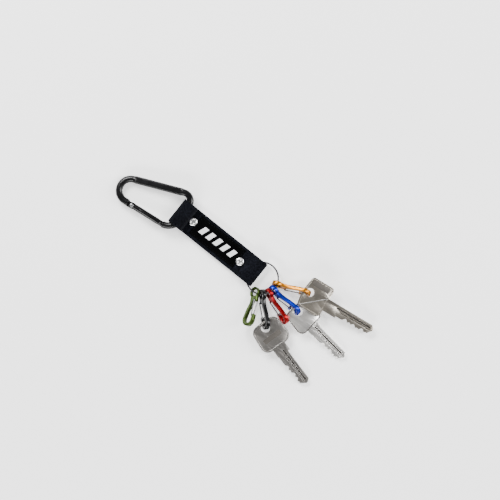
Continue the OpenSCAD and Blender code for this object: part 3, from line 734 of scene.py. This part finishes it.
anodising = {colour: metal(colour + " anodising", bright, deep, (0.26, 0.4), 0.25, 0.12, metallic=0.8)
             for colour, (bright, deep) in clip_colours.items()}
anodising["black"] = black_anodise
for colour, anodise in anodising.items():
    body = colour + "_clip"
    body_mesh, body_edges = finished_copy(colour + " clip", body, 0.15, 2)
    clip = place(body + "_plate", body_mesh, body, "anodised_" + colour, anodise, body)
    break_edges(clip, **body_edges)
    lug = np.array(joints[colour + "_clip_gate_open"]["pos_m"]) / MM
    plate_z = -unit(joints[colour + "_clip_gate_open"]["axis"])
    wire_node = frame["nodes"][colour + "_clip_gate"]
    wire_co = np.array([v.co for v in wire_node.data.vertices]) / MM
    tip = wire_co[np.argsort(np.linalg.norm(wire_co - lug, axis=1))[-40:]].mean(0) - lug
    reach = tip - (tip @ plate_z) * plate_z
    leg = unit(reach)
    leg_run = float(((wire_co - lug) @ leg).max()) - WIRE_R
    across_leg = np.cross(plate_z, leg)
    half = [(0, 0, FOOT_IN), (0, 0, WIRE_SIDE), (leg_run, 0, WIRE_TURN), (leg_run, 0, 0)]
    wire_route = np.array(half + [(x, y, -z) for x, y, z in half[-2::-1]], float)

    wire = round_wire(colour + " wire", wire_route, WIRE_R, placer(lug, leg, across_leg, plate_z))
    place(body + "_wire", wire, colour + "_wire_gate", "wire", gate_wire, body + "_gate")

# ---- Keys ----------------------------------------------------------------------------------------------
# Three cylinder keys, stamped from nickel-plated brass sheet and milled: a bow with a pressed rim, a neck
# that stops it in the lock, and a blade with grooves on each side and its cuts along one edge. Each hangs
# by its hole from the tail of a clip.

KEY_T = 2.1
RIM_UP, RIM_SUNK = 0.1, 0.06                     # the rim's middle lies this far inside the face
dull_nickel = metal("dull nickel", (0.40, 0.367, 0.32), (0.27, 0.242, 0.205), (0.28, 0.42), 0.5, 0.15)
fresh_nickel = metal("fresh nickel", (0.9, 0.88, 0.85), (0.76, 0.74, 0.71), (0.28, 0.4), 0.2, 0.08)
grey_nickel = metal("grey nickel", (0.33, 0.315, 0.298), (0.22, 0.208, 0.194), (0.3, 0.44), 0.5, 0.15)
# A darker nickel, used only on the wide key's rim, which is darker than its face.
dark_rim_nickel = metal("darker_rim nickel", (0.16, 0.15, 0.14), (0.1, 0.092, 0.085), (0.34, 0.5), 0.4, 0.3)
worn_field = metal("worn field", (0.19, 0.175, 0.158), (0.13, 0.12, 0.108), (0.4, 0.55), 0.3, 0.35)
# Painted shade: near-black metal on thin plates sunk in the key grooves, standing for the shade that falls
# in them.
painted_groove_shade = metal("painted_groove_shade", (0.03, 0.026, 0.022), (0.014, 0.012, 0.01), (0.6, 0.8), 0.0, 0.6, metallic=0.2)
# Each key: its slot, its metal and its rim's metal, the rim's inset and radius, its heading, its bow as the
# corner radius and the corners' centres, its blade's back, and where the painted groove shade starts and
# ends.
keys = {
    "square": ("key_nickel_dull", dull_nickel, dull_nickel, 1.0, 0.32, 7.6, 2.5,
               [(-1.2, 8.6), (12, 8.6), (11.9, -9.4), (-1.6, -9.4), (-2.9, -1.9)], 3.0, (22.6, 51.4)),
    "wide": ("key_nickel_bright", fresh_nickel, dark_rim_nickel, 0.55, 0.46, -6.8, 4.5,
             [(-0.4, 6.2), (9.6, 6.4), (10, -6.2), (-0.6, -5), (-0.8, 0)], 3.4, (16.5, 45.2)),
    "round": ("key_nickel_grey", grey_nickel, grey_nickel, 1.0, 0.36, -14.3, 5.7,
              [(1.2, 5.8), (10.6, 6.1), (10.4, -5.9), (1, -5), (0.8, 0)], 3.1, (20.5, 48.0)),
}
KEY_GROOVES = [(3.1, 1.2, 0.55, -2.5), (4.5, 0.5, 0.3, 0.8)]   # down from the back, width, depth, start
# Plain stamped fields on the bows (low corner, high corner), and the square key's diagonal crease, a raised
# ridge in brighter nickel that is a painted highlight.
key_fields = {"square": ((-1.3, 5.6), (11.9, 9.7)), "round": ((6.0, -7.2), (9.6, 7.2))}
CREASE = ((-1.6, -10.3), (13.2, 2.4))


def bow_line(centres, corner_r, inset, count=220):
    """The outline of a convex shape round several circles, drawn in by inset: for each direction, the point
    of the circle that lies farthest that way. Points are then spread evenly."""
    a = np.linspace(0, 2 * math.pi, count * 4, endpoint=False)
    way = np.stack([np.cos(a), np.sin(a)], 1)
    c = np.array(centres, float)
    far = c[np.argmax(way @ c.T, axis=1)] + (corner_r - inset) * way
    far = np.vstack([far, far[:1]])
    length = run_along(far)
    at = np.linspace(0, length[-1], count, endpoint=False)
    return np.stack([np.interp(at, length, far[:, k]) for k in range(2)], 1), at


def rounded_box(low, high, corner_r):
    """The outline of a rectangle with round corners."""
    x0, y0, x1, y1 = low[0] + corner_r, low[1] + corner_r, high[0] - corner_r, high[1] - corner_r
    return np.vstack([arc_run(c, corner_r, a, a + 90, 0.12)
                      for c, a in (((x1, y1), 0), ((x0, y1), 90), ((x0, y0), 180), ((x1, y0), 270))])


for shape, (slot_name, nickel_worn, rim_metal, rim_in, rim_r, heading, corner_r, centres, back_y,
            blade_run) in keys.items():
    node = shape + "_key"
    key_mesh, key_edges = finished_copy(node.replace("_", " "), node, 0.14, 2)
    key = place(node + "_plate", key_mesh, node, slot_name, nickel_worn, node)
    break_edges(key, **key_edges)
    hole = np.array(joints[node + "_turn"]["pos_m"]) / MM
    key_z = unit(joints[node + "_turn"]["axis"])
    level_x = np.array([math.cos(math.radians(heading)), math.sin(math.radians(heading)), 0])
    key_x = unit(level_x - (level_x @ key_z) * key_z)
    key_y = np.cross(key_z, key_x)

    on_key = placer(hole, key_x, key_y, key_z)
    rims = []
    for way in (1, -1):
        line, at = bow_line(centres, corner_r, rim_in)
        side = np.roll(line, -1, axis=0) - np.roll(line, 1, axis=0)
        side = np.stack([side[:, 1], -side[:, 0]], 1) / np.linalg.norm(side, axis=1)[:, None]
        angle = np.linspace(0, 2 * math.pi, 14, endpoint=False)
        flat = line[:, None] + rim_r * np.cos(angle)[None, :, None] * side[:, None]
        swell = np.sin(angle) * np.where(np.sin(angle) > 0, 1, 0.6)
        high = way * (KEY_T / 2 + (RIM_UP + RIM_SUNK) * swell - RIM_SUNK)
        points = np.dstack([flat, np.repeat(high[None], len(line), 0)])
        rims.append(grid_mesh("rim", on_key(points), np.append(at, at[-1] + 0.1), np.arange(15) * 0.05,
                              close_u=True, caps=False))
    place(shape + "_key_rim", joined(shape + " key rim", rims), node, slot_name, rim_metal)
    # Thin near-black plates sunk in each groove: painted shade where the groove is recessed.
    groove_shade_plates = []
    for down, width, depth, start in KEY_GROOVES:
        low = (blade_run[0] + start, back_y - down + 0.1)
        outline = rounded_box(low, (blade_run[1], low[1] + width - 0.2), 0.4 * (width - 0.2))
        groove_shade_plates.append(plate("groove_shade_plates", outline, KEY_T / 2 - depth - 0.05, KEY_T / 2 - depth + 0.05, 0.03, on_key))
    place(shape + "_key_grime", joined(shape + " key grime", groove_shade_plates), node, slot_name, painted_groove_shade)
    if shape in key_fields:
        field_line = rounded_box(*key_fields[shape], 0.7)
        field = plate("field", field_line, KEY_T / 2 - 0.1, KEY_T / 2 + 0.04, 0.03, on_key)
        place(shape + "_key_field", field, node, slot_name, worn_field)
    if shape == "square":
        (ax, ay), (bx, by) = CREASE
        off = 0.28 * np.array([ay - by, bx - ax]) / math.hypot(bx - ax, by - ay)
        ridge_line = np.linspace(CREASE[0], CREASE[1], 60)
        outline = np.vstack([ridge_line - off, (ridge_line + off)[::-1]])
        # A raised ridge along the crease in bright nickel: a painted highlight on the ridge.
        crease_highlight = plate("crease_highlight", outline, KEY_T / 2 - 0.1, KEY_T / 2 + 0.14, 0.13, on_key)
        place("square_key_crease", crease_highlight, node, slot_name, fresh_nickel)

# ---- Stage ---------------------------------------------------------------------------------------------
# A plain pale table with a weak glow of its own, and three soft rectangular lights round it. The camera
# looks straight down, turned so that the strap runs down to the right.

floor_mesh = bpy.data.meshes.new("table")
floor_mesh.from_pydata([(-3, -3, 0), (3, -3, 0), (3, 3, 0), (-3, 3, 0)], [], [(0, 1, 2, 3)])
floor = bpy.data.objects.new("table", floor_mesh)
floor.location.z = -0.2 * MM                     # just clear of the strap's underside
bpy.context.scene.collection.objects.link(floor)
floor_material = new_material("pale table", Roughness=0.9, Specular_IOR_Level=0.1,
                              Base_Color=(0.97, 0.97, 0.97, 1), Emission_Color=(1, 1, 1, 1),
                              Emission_Strength=0.7)[0]
floor_mesh.materials.append(floor_material)

world = bpy.data.worlds.new("studio")
world.use_nodes = True
world.node_tree.nodes["Background"].inputs[0].default_value = (1, 1, 1, 1)
world.node_tree.nodes["Background"].inputs[1].default_value = 0.24
bpy.context.scene.world = world
VIEW_X, VIEW_Y, VIEW_TURN = 21.1, 10.3, 38.65
turn_rad = math.radians(VIEW_TURN)
right = Vector((math.cos(turn_rad), math.sin(turn_rad), 0))
up = Vector((-math.sin(turn_rad), math.cos(turn_rad), 0))
look_at = Vector((VIEW_X * MM, VIEW_Y * MM, 0))


def softbox(name, side, rise, height, size, power):
    """A rectangular area light: side and rise are its place across and up the view. It faces the object."""
    lamp = bpy.data.lights.new(name, "AREA")
    lamp.shape = "RECTANGLE"
    lamp.size, lamp.size_y = size
    lamp.energy = power
    light = bpy.data.objects.new(name, lamp)
    light.location = look_at + right * side + up * rise + Vector((0, 0, height))
    light.rotation_euler = (look_at - light.location).to_track_quat("-Z", "Y").to_euler()
    bpy.context.scene.collection.objects.link(light)


softbox("key light", -0.45, 0.75, 0.7, (0.7, 0.35), 24.0)
softbox("fill light", 0.85, 0.1, 0.6, (0.3, 0.8), 15.0)
softbox("rim light", -0.3, -0.85, 0.5, (0.8, 0.25), 12.0)
view_camera = bpy.data.cameras.new("camera")
view_camera.lens = 120
view_camera.sensor_width = 36
camera = bpy.data.objects.new("camera", view_camera)
VIEW_WIDTH = 358.4
camera.location = look_at + Vector((0, 0, VIEW_WIDTH * MM * view_camera.lens / view_camera.sensor_width))
camera.rotation_euler = (0, 0, turn_rad)
bpy.context.scene.collection.objects.link(camera)
bpy.context.scene.camera = camera
